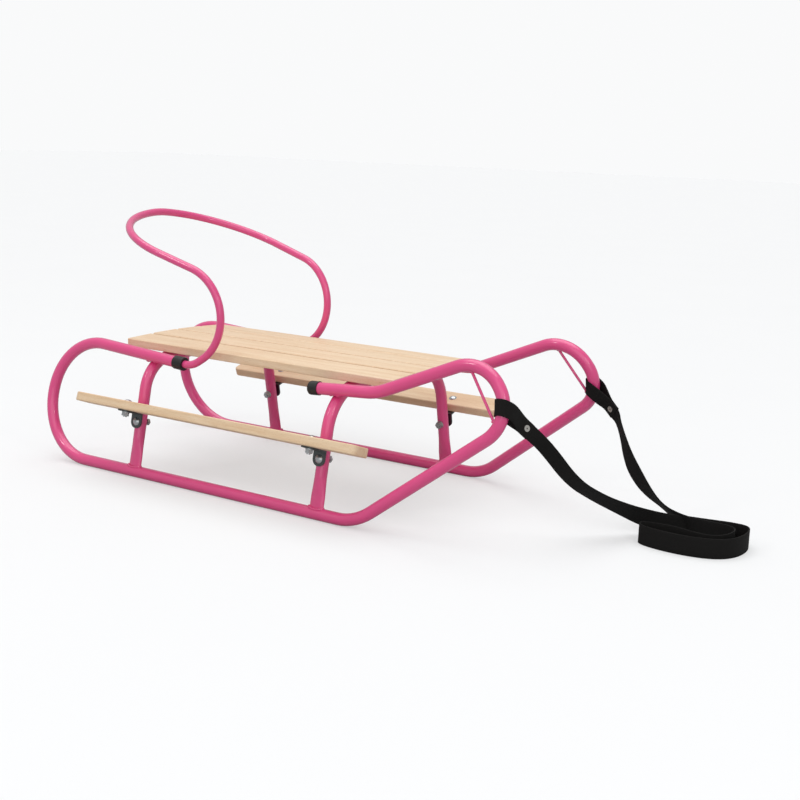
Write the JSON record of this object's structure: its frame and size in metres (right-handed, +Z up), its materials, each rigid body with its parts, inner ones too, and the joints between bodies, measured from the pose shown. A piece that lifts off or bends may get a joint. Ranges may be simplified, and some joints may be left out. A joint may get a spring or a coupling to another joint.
{
  "type": "toboggan",
  "caption": "Child's toboggan: bent steel-tube runners, slatted wooden seat, side footrests, plug-in tube backrest and a webbing pull strap.",
  "frame": {"origin": "on the ground, midway along the runners and midway between them; the pull strap is left out of this middle", "axes": "+X forwards, towards the noses and the pull strap; +Y to the rider's left; +Z up"},
  "size_m": [1.1214, 0.4224, 0.4086],
  "materials": {
    "painted_tube": "gloss powder coat",
    "seat_wood": "planed, clear varnish",
    "footrest_wood": "planed, clear varnish",
    "bracket_steel": "dark, satin",
    "zinc_steel": "bright zinc plate",
    "black_plastic": "moulded, satin",
    "webbing": "woven, matt",
    "rivet_steel": "bright"
  },
  "bodies": {
    "sled": {"runner_right": "painted_tube", "runner_left": "painted_tube", "bow_rear": "painted_tube", "bow_front": "painted_tube", "strap_rod_right": "painted_tube", "strap_rod_left": "painted_tube", "seat_slat_1": "seat_wood", "seat_slat_2": "seat_wood", "seat_slat_3": "seat_wood", "seat_slat_4": "seat_wood", "footrest_right": "footrest_wood", "footrest_left": "footrest_wood", "bracket_rear_right": "bracket_steel", "bracket_rear_left": "bracket_steel", "bracket_front_right": "bracket_steel", "bracket_front_left": "bracket_steel", "seat_screws": "zinc_steel", "footrest_bolts": "zinc_steel", "footrest_nuts": "zinc_steel", "footrest_washers": "zinc_steel", "leg_bolts": "zinc_steel", "leg_nuts": "zinc_steel", "leg_washers": "zinc_steel", "sleeve_right": "black_plastic", "sleeve_left": "black_plastic", "cap_right": "black_plastic", "cap_left": "black_plastic", "strap_loop_right": "webbing", "strap_loop_left": "webbing", "strap_run_right": "webbing", "strap_run_left": "webbing", "strap_coil": "webbing", "strap_rivets": "rivet_steel"},
    "backrest": {"backrest": "painted_tube"}
  },
  "joints": [
    {"name": "backrest_pull", "type": "slide", "parent": "sled", "child": "backrest", "axis": [0.9979, 0, -0.0645], "range_m": [0, 0.09]}
  ]
}
